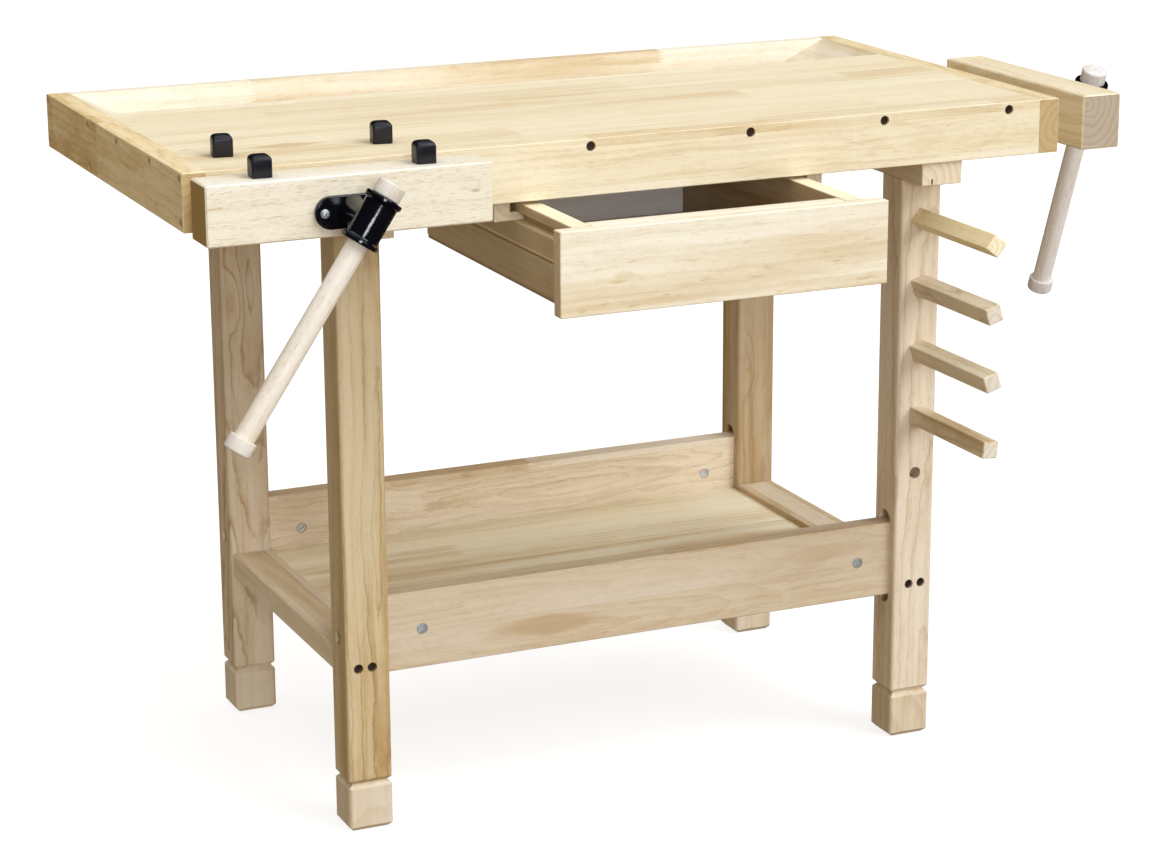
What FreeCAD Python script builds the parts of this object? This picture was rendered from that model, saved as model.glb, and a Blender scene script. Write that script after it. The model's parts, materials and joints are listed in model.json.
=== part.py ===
import FreeCAD
import Part
import math
import os

# Children's workbench, in millimetres: X to the right along the bench, Y to the back, Z up from the floor.
# While it is being made, X starts at the left end of the top and Y at the front face of the apron.

# Bench top
top_length = 970.0
top_depth = 500.0
top_height = 718.0
edge_height = 58.0
end_cap_thickness = 24.0
apron_thickness = 20.0
panel_thickness = 16.0
tray_wall_thickness = 20.0
back_board_thickness = 16.0
tray_width = 138.0
tray_depth = 40.0
tray_floor_thickness = 8.0
tray_groove_depth = 4.0
ramp_length = 85.0
ramp_thickness = 12.0

# Legs, feet and bearers
leg_width = 48.0
leg_depth = 45.0
leg_round = 4.0
left_overhang = 166.0
right_overhang = 115.0
front_overhang = 45.5
back_overhang = 28.5
foot_height = 52.0
foot_chamfer = 5.0
foot_dowel_diameter = 14.0
foot_dowel_length = 25.0
bearer_height = 25.0
bearer_setback = 5.0
leg_tenon_side = 22.0
leg_tenon_length = 15.0

# Stretchers, side rails and shelf
stretcher_height = 83.0
stretcher_thickness = 24.0
stretcher_lift = 167.0
stretcher_housing_depth = 10.0
rail_height = 26.0
rail_lift = 166.0
rail_inset = 2.0
shelf_thickness = 9.0
shelf_drop = 6.0
shelf_groove_depth = 8.0

# Tool pegs on the front right leg
peg_side = 18.0
peg_reach = 154.0
peg_pitch = 72.7
top_peg_drop = 44.0
peg_tip_chamfer = 1.0
peg_tenon_diameter = 13.0
peg_tenon_length = 25.0
peg_rolls_degrees = (-52.0, -17.0, -18.0, 5.0)
spare_hole_drop = 66.0

# Drawer and its runners
drawer_leg_gap = 117.5
drawer_height = 85.0
drawer_front_thickness = 16.0
drawer_opening = 131.0
drawer_top_gap = 4.0
drawer_overhang = 19.0
drawer_box_depth = 385.0
drawer_side_thickness = 21.0
drawer_side_height = 81.0
drawer_box_front_thickness = 17.0
drawer_back_thickness = 14.0
drawer_bottom_thickness = 4.0
drawer_lip_height = 9.0
drawer_batten_height = 24.0
drawer_quirk_height = 3.5
drawer_quirk_depth = 4.0
drawer_bottom_inset = 1.0
runner_groove_depth = 9.0
runner_lip_thickness = 9.4
runner_thickness = 18.0
runner_side_gap = 7.0

# Both vises
jaw_length = 287.0
jaw_thickness = 47.0
jaw_height = 59.0
front_jaw_inset = 1.0
tail_jaw_inset = 0.0
front_jaw_opening = 23.3
tail_jaw_opening = 30.5
vise_axis_drop = 35.0
guide_rod_diameter = 14.0
guide_rod_spacing = 110.0
guide_rod_reach = 165.0
guide_rod_seat = 30.0
vise_screw_diameter = 18.0
vise_screw_reach = 135.0
spigot_diameter = 16.0
thrust_flange_diameter = 26.0
thrust_flange_thickness = 4.0
nut_plate_thickness = 6.0
nut_boss_length = 25.0
sleeve_wall = 4.0
collar_length = 76.0
collar_height = 32.0
collar_thickness = 5.0
collar_screw_spacing = 58.0
collar_screw_diameter = 4.0
collar_screw_length = 25.0
collar_screw_head_diameter = 9.0
collar_screw_head_height = 3.0
hub_standoff = 52.0
hub_length = 49.0
hub_diameter = 33.0
hub_flange_diameter = 37.5
hub_flange_thickness = 4.0
hub_neck_diameter = 26.0
hub_socket_depth = 20.0

# Vise handles
handle_diameter = 21.0
handle_shaft_length = 259.0
handle_cap_diameter = 28.0
handle_cap_length = 16.0
handle_cap_round = 3.0
handle_tenon_diameter = 12.0
handle_tenon_length = 10.0
front_handle_lean_degrees = -34.0
tail_handle_lean_degrees = 20.0

# Bench dogs
dog_side = 20.0
dog_head_height = 22.0
dog_round = 3.0
dog_stem_diameter = 15.0
dog_stem_length = 30.0
dog_spacing = 164.5
dog_row_setback = 70.0
jaw_dog_turn_degrees = -4.0
bench_dog_turn_degrees = -9.0

# Fasteners
screw_diameter = 5.0
screw_length = 45.0
screw_head_diameter = 10.0
screw_head_height = 4.0
screw_sink = 3.0
screw_slot_width = 1.2
screw_slot_depth = 1.5
rail_screw_length = 80.0
rail_screw_spacing = 15.0
rail_screw_outset = 3.0
bolt_diameter = 8.0
bolt_head_diameter = 15.5
bolt_head_height = 5.0
bolt_sink = 9.0
bolt_end = 8.0
barrel_nut_diameter = 12.0
barrel_nut_setback = 40.0

# Places given as shares of the piece that they follow
apron_screw_shares = (0.436, 0.62, 0.781, 0.936)
panel_screw_shares = (0.29, 0.67)
runner_screw_shares = (0.15, 0.85)
bearer_screw_share = 0.25
panel_bite_share = 0.6
screw_slot_share = 0.7
pan_crown_share = 0.5

# Eased edges and clearances
arris = 0.8
jaw_arris = 1.5
running_clearance = 0.08
seat_clearance = 0.1
slide_clearance = 0.3
wall_clearance = 0.6
overrun = 1.0

# Directions
Vector = FreeCAD.Vector
right = Vector(1, 0, 0)
back = Vector(0, 1, 0)
up = Vector(0, 0, 1)
origin = Vector(0, 0, 0)
full_turn_degrees = 360.0
quarter_turn_degrees = 90.0
parallel_degrees = 1.0

# Shared levels and faces of the top
edge_bottom = top_height - edge_height
panel_bottom = top_height - panel_thickness
panel_middle = top_height - panel_thickness / 2
inner_left = end_cap_thickness
inner_right = top_length - end_cap_thickness
back_board_front = top_depth - back_board_thickness
tray_wall_back = back_board_front - tray_width
tray_wall_front = tray_wall_back - tray_wall_thickness
tray_floor_top = top_height - tray_depth
vise_axis_height = top_height - vise_axis_drop

# Shared places of the underframe
bearer_bottom = edge_bottom - bearer_height
left_leg_x = (left_overhang, left_overhang + leg_width)
right_leg_x = (top_length - right_overhang - leg_width, top_length - right_overhang)
front_leg_y = (front_overhang, front_overhang + leg_depth)
back_leg_y = (top_depth - back_overhang - leg_depth, top_depth - back_overhang)
stretcher_top = stretcher_lift + stretcher_height
stretcher_middle = stretcher_lift + stretcher_height / 2
rail_top = rail_lift + rail_height
rail_middle = rail_lift + rail_height / 2
shelf_top = rail_top - shelf_drop
shelf_bottom = shelf_top - shelf_thickness

pieces = {}
holes = []


def middle(span):
    """Middle of a span."""
    return (span[0] + span[1]) / 2


def around(centre, width):
    """Span of a width about a centre."""
    return (centre - width / 2, centre + width / 2)


def block(x, y, z):
    """Plain box between three spans."""
    return Part.makeBox(x[1] - x[0], y[1] - y[0], z[1] - z[0], Vector(x[0], y[0], z[0]))


def board(x, y, z, ease=arris):
    """Box between three spans with every edge eased."""
    box = block(x, y, z)
    return box.makeChamfer(ease, box.Edges)


def top_board(x, y, z):
    """Board of the top, eased only along the outer edges of the whole top, so that its joints lie flush."""
    box = block(x, y, z)
    outside = ((0, top_length), (0, top_depth), (edge_bottom, top_height))
    eased = []
    for edge in box.Edges:
        ends = [vertex.Point for vertex in edge.Vertexes]
        sides = [(axis, level) for axis, levels in enumerate(outside) for level in levels]
        on_sides = [all(abs(end[axis] - level) < arris for end in ends) for axis, level in sides]
        if on_sides.count(True) > 1:
            eased.append(edge)
    return box.makeChamfer(arris, eased) if eased else box


def rod(start, direction, length, diameter):
    """Round bar from a start point along a direction."""
    return Part.makeCylinder(diameter / 2, length, start, direction)


def turned(profile):
    """Solid of revolution about Z from points of radius and height."""
    points = [Vector(radius, 0, height) for radius, height in profile]
    face = Part.Face(Part.makePolygon(points + points[:1]))
    return face.revolve(origin, up, full_turn_degrees)


def edges_along(shape, direction):
    """Straight edges of a shape that run along a direction."""
    straight = [edge for edge in shape.Edges if isinstance(edge.Curve, Part.Line)]
    least = math.cos(math.radians(parallel_degrees))
    return [edge for edge in straight if abs(edge.Curve.Direction.dot(direction)) > least]


def rim_edges(shape, height):
    """Edges of a shape that lie flat at a height."""
    return [edge for edge in shape.Edges if max(abs(v.Z - height) for v in edge.Vertexes) < arris / 2]


def post(x, y, z, chamfered_heights):
    """Upright post with rounded corners, chamfered all round at the heights given."""
    box = block(x, y, z)
    rounded = box.makeFillet(leg_round, edges_along(box, up))
    rims = [edge for height in chamfered_heights for edge in rim_edges(box, height)]
    return rounded.common(box.makeChamfer(foot_chamfer, rims))


def screw(start, direction, length):
    """Countersunk wood screw with a cross slot, its head sunk below the start point."""
    head_top = start + direction * screw_sink
    head = rod(head_top, direction, screw_head_height, screw_head_diameter)
    shank_length = length - screw_head_height
    shank = rod(head_top + direction * screw_head_height, direction, shank_length, screw_diameter)
    slot = around(0, screw_head_diameter * screw_slot_share)
    narrow = around(0, screw_slot_width)
    deep = (0, screw_slot_depth)
    cross = block(slot, narrow, deep).fuse(block(narrow, slot, deep))
    cross.Placement = FreeCAD.Placement(head_top, FreeCAD.Rotation(up, direction))
    return head.fuse(shank).cut(cross)


def screw_hole(start, direction, length):
    """Stepped hole for a wood screw."""
    mouth_length = overrun + screw_sink + screw_head_height
    mouth_diameter = screw_head_diameter + 2 * seat_clearance
    mouth = rod(start - direction * overrun, direction, mouth_length, mouth_diameter)
    bore_length = screw_sink + length + seat_clearance
    bore = rod(start, direction, bore_length, screw_diameter + 2 * seat_clearance)
    return mouth.fuse(bore)


def drive_screws(places, length):
    """Screws at a list of start points and directions, with their holes noted for drilling."""
    holes.extend(screw_hole(start, direction, length) for start, direction in places)
    return [screw(start, direction, length) for start, direction in places]


def make_top():
    """Boards of the top: panel, apron, end caps, back board, and the tool tray."""
    edge_z = (edge_bottom, top_height)
    between_caps = (inner_left, inner_right)
    pieces["left_end_cap"] = top_board((0, inner_left), (0, top_depth), edge_z)
    pieces["right_end_cap"] = top_board((inner_right, top_length), (0, top_depth), edge_z)
    pieces["front_apron"] = top_board(between_caps, (0, apron_thickness), edge_z)
    panel_y = (apron_thickness, tray_wall_front)
    pieces["worktop_panel"] = top_board(between_caps, panel_y, (panel_bottom, top_height))
    groove_z = (tray_floor_top - tray_floor_thickness, tray_floor_top)
    groove_y = (tray_wall_back - tray_groove_depth, back_board_front + tray_groove_depth)
    groove = block(between_caps, groove_y, groove_z)
    wall = top_board(between_caps, (tray_wall_front, tray_wall_back), edge_z)
    pieces["tray_wall"] = wall.cut(groove)
    rear = top_board(between_caps, (back_board_front, top_depth), edge_z)
    pieces["back_board"] = rear.cut(groove)
    pieces["tray_floor"] = block(between_caps, groove_y, groove_z)
    make_tray_ramps()


def make_tray_ramps():
    """Sloping planks that close both ends of the tool tray."""
    slope = math.atan2(tray_depth, ramp_length)
    foot = ramp_thickness / math.sin(slope)
    rise = ramp_thickness / math.cos(slope)
    toe = inner_right - ramp_length
    outline = [
        Vector(toe, tray_wall_back, tray_floor_top),
        Vector(toe + foot, tray_wall_back, tray_floor_top),
        Vector(inner_right, tray_wall_back, top_height - rise),
        Vector(inner_right, tray_wall_back, top_height),
    ]
    plank = Part.Face(Part.makePolygon(outline + outline[:1])).extrude(back * tray_width)
    pieces["tray_ramp_right"] = plank
    pieces["tray_ramp_left"] = plank.mirror(Vector(top_length / 2, 0, 0), right)


def make_top_screws():
    """Screws through the apron, the end caps, the bearers and the drawer runners."""
    places = [(Vector(top_length * share, 0, panel_middle), back) for share in apron_screw_shares]
    panel_depth = tray_wall_front - apron_thickness
    panel_rows = [apron_thickness + panel_depth * share for share in panel_screw_shares]
    apron_row = apron_thickness / 2
    wall_row = tray_wall_front + (tray_wall_thickness - tray_groove_depth) / 2
    back_row = top_depth - (back_board_thickness - tray_groove_depth) / 2
    low = edge_bottom + panel_thickness / 2
    rows = [(y, panel_middle) for y in panel_rows + [apron_row, wall_row, back_row]]
    rows += [(y, low) for y in (apron_row, wall_row, back_row)]
    for y, z in rows:
        places.append((Vector(0, y, z), right))
        places.append((Vector(top_length, y, z), -right))
    for leg_x in (left_leg_x, right_leg_x):
        for y in (apron_row, wall_row, back_row):
            places.append((Vector(leg_x[0] + leg_width * bearer_screw_share, y, bearer_bottom), up))
    tip = panel_bottom + panel_thickness * panel_bite_share
    start = tip - screw_length - screw_sink
    for x in runner_middles():
        for share in runner_screw_shares:
            y = apron_thickness + panel_depth * share
            places.append((Vector(x, y, start), up))
            mouth = Vector(x, y, runner_bottom - overrun)
            holes.append(rod(mouth, up, start - mouth.z, screw_head_diameter + 2 * seat_clearance))
    pieces["wood_screws"] = Part.makeCompound(drive_screws(places, screw_length))


def make_underframe():
    """Legs on block feet, bearers, stretchers, side rails and the shelf."""
    sides = {"left": left_leg_x, "right": right_leg_x}
    ends = {"front": front_leg_y, "back": back_leg_y}
    inward = {"left": right, "right": -right}
    feet = []
    bolts = []
    nuts = []
    bolt_length = leg_width - bolt_sink - bolt_head_height + barrel_nut_setback + bolt_end
    for side, leg_x in sides.items():
        outer, inner = leg_x if side == "left" else leg_x[::-1]
        for end, leg_y in ends.items():
            centre = Vector(middle(leg_x), middle(leg_y), 0)
            leg = post(leg_x, leg_y, (foot_height, bearer_bottom), (foot_height,))
            tenon = around(0, leg_tenon_side)
            tenon_z = (bearer_bottom, bearer_bottom + leg_tenon_length)
            tenon_block = block(tenon, tenon, tenon_z)
            tenon_block.translate(centre)
            leg = leg.fuse(tenon_block).cut(stretcher_housing(inner, middle(leg_y)))
            dowel_start = centre + up * foot_height
            dowel_hole_length = foot_dowel_length + seat_clearance
            dowel_hole_diameter = foot_dowel_diameter + 2 * seat_clearance
            leg = leg.cut(rod(dowel_start, up, dowel_hole_length, dowel_hole_diameter))
            pieces["%s_%s_leg" % (end, side)] = leg
            foot = post(leg_x, leg_y, (0, foot_height), (0, foot_height))
            feet.append(foot.fuse(rod(dowel_start, up, foot_dowel_length, foot_dowel_diameter)))
            bolt_start = Vector(outer, middle(leg_y), stretcher_middle)
            bolts.append(stretcher_bolt(bolt_start, inward[side], bolt_length))
            nut_x = inner + inward[side].x * barrel_nut_setback
            nuts.append(barrel_nut(nut_x, middle(leg_y), inward[side]))
        make_bearer(side, leg_x)
        make_side_rail(side, leg_x)
    pieces["foot_blocks"] = Part.makeCompound(feet)
    pieces["stretcher_bolts"] = Part.makeCompound(bolts)
    pieces["barrel_nuts"] = Part.makeCompound(nuts)
    make_stretchers_and_shelf()
    make_rail_screws()


def stretcher_housing(inner, y):
    """Upright round-ended slot in a leg's inner face for the end of a stretcher."""
    width = stretcher_thickness + 2 * seat_clearance
    depth = around(inner, 2 * stretcher_housing_depth)
    slot = block(depth, around(y, width), (stretcher_lift, stretcher_top))
    length = depth[1] - depth[0]
    ends = [rod(Vector(depth[0], y, z), right, length, width) for z in (stretcher_lift, stretcher_top)]
    return slot.fuse(ends)


def stretcher_bolt(start, direction, length):
    """Bolt through a leg into a stretcher, its head sunk below the leg's outer face."""
    head_top = start + direction * bolt_sink
    head = rod(head_top, direction, bolt_head_height, bolt_head_diameter)
    shank_start = head_top + direction * bolt_head_height
    mouth_length = overrun + bolt_sink + bolt_head_height
    mouth_diameter = bolt_head_diameter + 2 * seat_clearance
    mouth = rod(start - direction * overrun, direction, mouth_length, mouth_diameter)
    bore = rod(shank_start, direction, length + seat_clearance, bolt_diameter + 2 * seat_clearance)
    holes.append(mouth.fuse(bore))
    return head.fuse(rod(shank_start, direction, length, bolt_diameter))


def barrel_nut(x, y, direction):
    """Round cross nut in a stretcher, drilled for its bolt."""
    start = Vector(x, y - stretcher_thickness / 2, stretcher_middle)
    hole_start = start - back * overrun
    hole_length = stretcher_thickness + 2 * overrun
    holes.append(rod(hole_start, back, hole_length, barrel_nut_diameter + 2 * seat_clearance))
    nut = rod(start, back, stretcher_thickness, barrel_nut_diameter)
    thread_start = Vector(x, y, stretcher_middle) - direction * barrel_nut_diameter
    return nut.cut(rod(thread_start, direction, 2 * barrel_nut_diameter, bolt_diameter + 2 * seat_clearance))


def make_bearer(side, leg_x):
    """Beam across the tops of a pair of legs, under the top."""
    beam_y = (bearer_setback, top_depth - bearer_setback)
    beam = board(leg_x, beam_y, (bearer_bottom, edge_bottom))
    mortise = around(middle(leg_x), leg_tenon_side + 2 * seat_clearance)
    mortise_z = (bearer_bottom - overrun, bearer_bottom + leg_tenon_length + seat_clearance)
    for leg_y in (front_leg_y, back_leg_y):
        mortise_y = around(middle(leg_y), leg_tenon_side + 2 * seat_clearance)
        beam = beam.cut(block(mortise, mortise_y, mortise_z))
    pieces["bearer_%s" % side] = beam


def shelf_panel(clearance):
    """Shelf with notched corners that clear the legs, or the space that its grooves take."""
    wide_x = (left_leg_x[1] - shelf_groove_depth, right_leg_x[0] + shelf_groove_depth)
    between_legs_x = (left_leg_x[1] + clearance, right_leg_x[0] - clearance)
    front_face = middle(front_leg_y) + stretcher_thickness / 2
    back_face = middle(back_leg_y) - stretcher_thickness / 2
    wide_y = (front_face - shelf_groove_depth, back_face + shelf_groove_depth)
    between_legs_y = (front_leg_y[1] + clearance, back_leg_y[0] - clearance)
    shelf_z = (shelf_bottom, shelf_top)
    across = block(wide_x, between_legs_y, shelf_z)
    return across.fuse(block(between_legs_x, wide_y, shelf_z)).removeSplitter()


def make_side_rail(side, leg_x):
    """Low rail between a front leg and a back leg."""
    inner_first = leg_x[1] if side == "left" else leg_x[0]
    outer = leg_x[0] + rail_inset if side == "left" else leg_x[1] - rail_inset
    rail_x = (min(inner_first, outer), max(inner_first, outer))
    rail = board(rail_x, (front_leg_y[1], back_leg_y[0]), (rail_lift, rail_top))
    pieces["side_rail_%s" % side] = rail.cut(shelf_panel(0))


def make_stretchers_and_shelf():
    """Long rails housed in the legs, and the shelf that lies in their grooves."""
    depth = stretcher_housing_depth - seat_clearance
    stretcher_x = (left_leg_x[1] - depth, right_leg_x[0] + depth)
    for end, leg_y in {"front": front_leg_y, "back": back_leg_y}.items():
        stretcher_y = around(middle(leg_y), stretcher_thickness)
        plank = board(stretcher_x, stretcher_y, (stretcher_lift, stretcher_top))
        pieces["%s_stretcher" % end] = plank.cut(shelf_panel(0))
    pieces["shelf"] = shelf_panel(slide_clearance)


def make_rail_screws():
    """Pairs of screws through the legs into the ends of the side rails."""
    places = []
    for leg_x, outset in ((left_leg_x, -rail_screw_outset), (right_leg_x, rail_screw_outset)):
        for x in around(middle(leg_x) + outset, rail_screw_spacing):
            places.append((Vector(x, front_leg_y[0], rail_middle), back))
            places.append((Vector(x, back_leg_y[1], rail_middle), -back))
    pieces["rail_screws"] = Part.makeCompound(drive_screws(places, rail_screw_length))


def make_pegs():
    """Square tool pegs with round tenons, one above the other, and the empty hole below them."""
    x = middle(right_leg_x)
    face = front_leg_y[0]
    height = bearer_bottom - top_peg_drop
    hole_diameter = peg_tenon_diameter + 2 * seat_clearance
    for number, roll in enumerate(peg_rolls_degrees, 1):
        root = Vector(x, face, height)
        side = around(0, peg_side)
        bar = board(side, (-peg_reach, 0), side)
        tip = block(side, (-peg_reach, 0), side)
        tip_rim = [edge for edge in tip.Edges if max(v.Y for v in edge.Vertexes) < -peg_reach / 2]
        bar = bar.common(tip.makeChamfer(peg_tip_chamfer, tip_rim))
        bar.rotate(origin, back, roll)
        bar.translate(root)
        pieces["tool_peg_%d" % number] = bar.fuse(rod(root, back, peg_tenon_length, peg_tenon_diameter))
        holes.append(rod(root, back, peg_tenon_length + seat_clearance, hole_diameter))
        height -= peg_pitch
    spare = Vector(x, face - overrun, height + peg_pitch - spare_hole_drop)
    holes.append(rod(spare, back, overrun + peg_tenon_length + seat_clearance, hole_diameter))


# Shared places of the drawer
drawer_left = left_leg_x[1] + drawer_leg_gap
drawer_right = right_leg_x[0] - drawer_leg_gap
drawer_top = edge_bottom - drawer_top_gap
drawer_box_front = drawer_front_thickness - drawer_opening
drawer_box_back = drawer_box_front + drawer_box_depth
drawer_outer = (drawer_left + drawer_overhang, drawer_right - drawer_overhang)
drawer_inner = (drawer_outer[0] + drawer_side_thickness, drawer_outer[1] - drawer_side_thickness)
drawer_side_z = (drawer_top - drawer_side_height, drawer_top)
drawer_groove_top = drawer_top - drawer_lip_height
runner_lip_top = drawer_groove_top - slide_clearance
runner_bottom = runner_lip_top - runner_lip_thickness
drawer_groove_bottom = runner_bottom - slide_clearance
runner_face = drawer_outer[0] - runner_side_gap


def runner_middles():
    """Middles of the two runners' uprights along X."""
    left = runner_face - runner_thickness / 2
    return (left, drawer_left + drawer_right - left)


def make_runners():
    """L-shaped runners under the panel whose lips carry the drawer's grooves."""
    run_y = (apron_thickness, tray_wall_front)
    upright = board((runner_face - runner_thickness, runner_face), run_y, (runner_bottom, panel_bottom))
    lip_tip = drawer_outer[0] + runner_groove_depth - slide_clearance
    lip_x = (runner_face - runner_thickness / 2, lip_tip)
    lip = board(lip_x, run_y, (runner_bottom, runner_lip_top))
    runner = upright.fuse(lip).removeSplitter()
    pieces["drawer_runner_left"] = runner
    pieces["drawer_runner_right"] = runner.mirror(Vector(middle((drawer_left, drawer_right)), 0, 0), right)


def make_drawer():
    """Drawer with a planted front, a thin bottom planted under it and sides with a groove and a quirk line."""
    front_y = (-drawer_opening, drawer_box_front)
    front_z = (drawer_top - drawer_height, drawer_top)
    pieces["drawer_front"] = board((drawer_left, drawer_right), front_y, front_z)
    box_y = (drawer_box_front, drawer_box_back)
    inner_y = (drawer_box_front + drawer_box_front_thickness, drawer_box_back - drawer_back_thickness)
    bottom_x = (drawer_outer[0] + drawer_bottom_inset, drawer_outer[1] - drawer_bottom_inset)
    bottom_z = (drawer_side_z[0] - drawer_bottom_thickness, drawer_side_z[0])
    side = board((drawer_outer[0], drawer_inner[0]), box_y, drawer_side_z)
    groove_x = (drawer_outer[0] - overrun, drawer_outer[0] + runner_groove_depth)
    long_y = (box_y[0] - overrun, box_y[1] + overrun)
    side = side.cut(block(groove_x, long_y, (drawer_groove_bottom, drawer_groove_top)))
    quirk_x = (drawer_outer[0] - overrun, drawer_outer[0] + drawer_quirk_depth)
    quirk_top = drawer_groove_bottom - drawer_batten_height
    side = side.cut(block(quirk_x, long_y, (quirk_top - drawer_quirk_height, quirk_top)))
    pieces["drawer_side_left"] = side
    pieces["drawer_side_right"] = side.mirror(Vector(middle((drawer_left, drawer_right)), 0, 0), right)
    pieces["drawer_box_front"] = board(drawer_inner, (box_y[0], inner_y[0]), drawer_side_z)
    pieces["drawer_back"] = board(drawer_inner, (inner_y[1], box_y[1]), drawer_side_z)
    pieces["drawer_bottom"] = board(bottom_x, box_y, bottom_z)


def collar_plate(face):
    """Round-ended plate on the jaw that traps the screw's thrust flange."""
    half_height = collar_height / 2
    reach = collar_length / 2 - half_height
    outside = face - collar_thickness
    plate = block((-reach, reach), (outside, face), (-half_height, half_height))
    ends = [rod(Vector(x, outside, 0), back, collar_thickness, collar_height) for x in (-reach, reach)]
    plate = plate.fuse(ends).removeSplitter()
    rim = [edge for edge in plate.Edges if max(abs(v.Y - outside) for v in edge.Vertexes) < arris]
    return plate.makeFillet(jaw_arris, rim)


def vise_hub(lean):
    """Barrel that holds the handle, on a neck with a socket for the screw's spigot."""
    half = hub_length / 2
    body = hub_diameter / 2
    flange = hub_flange_diameter / 2
    step = flange - body
    profile = [
        (0, -half),
        (flange - arris, -half),
        (flange, arris - half),
        (flange, hub_flange_thickness - half),
        (body, hub_flange_thickness + step - half),
        (body, half - hub_flange_thickness - step),
        (flange, half - hub_flange_thickness),
        (flange, half - arris),
        (flange - arris, half),
        (0, half),
    ]
    barrel = turned(profile)
    bore = rod(Vector(0, 0, -hub_length), up, 2 * hub_length, handle_diameter + 2 * running_clearance)
    barrel.rotate(origin, back, -lean)
    bore.rotate(origin, back, -lean)
    neck_length = hub_standoff - collar_thickness - slide_clearance
    hub = barrel.fuse(rod(origin, back, neck_length, hub_neck_diameter)).cut(bore)
    socket_start = Vector(0, neck_length - hub_socket_depth, 0)
    hub = hub.cut(rod(socket_start, back, hub_socket_depth + overrun, spigot_diameter + 2 * seat_clearance))
    return hub


def vise_handle(lean):
    """Turned wooden handle slid down in its hub, and its two end caps."""
    top = hub_length / 2 + slide_clearance
    low = top - handle_shaft_length
    shaft = turned([
        (0, low - handle_tenon_length),
        (handle_tenon_diameter / 2, low - handle_tenon_length),
        (handle_tenon_diameter / 2, low),
        (handle_diameter / 2, low),
        (handle_diameter / 2, top),
        (handle_tenon_diameter / 2, top),
        (handle_tenon_diameter / 2, top + handle_tenon_length),
        (0, top + handle_tenon_length),
    ])
    socket_radius = handle_tenon_diameter / 2 + seat_clearance
    socket_depth = handle_tenon_length + seat_clearance
    radius = handle_cap_diameter / 2
    cap = turned([
        (socket_radius, 0),
        (radius - arris, 0),
        (radius, arris),
        (radius, handle_cap_length),
        (0, handle_cap_length),
        (0, socket_depth),
        (socket_radius, socket_depth),
    ])
    rim = [edge for edge in rim_edges(cap, handle_cap_length) if isinstance(edge.Curve, Part.Circle)]
    top_cap = cap.makeFillet(handle_cap_round, rim)
    low_cap = top_cap.mirror(origin, up)
    top_cap.translate(up * top)
    low_cap.translate(up * low)
    for shape in (shaft, top_cap, low_cap):
        shape.rotate(origin, back, -lean)
    return shaft, Part.makeCompound([top_cap, low_cap])


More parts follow.
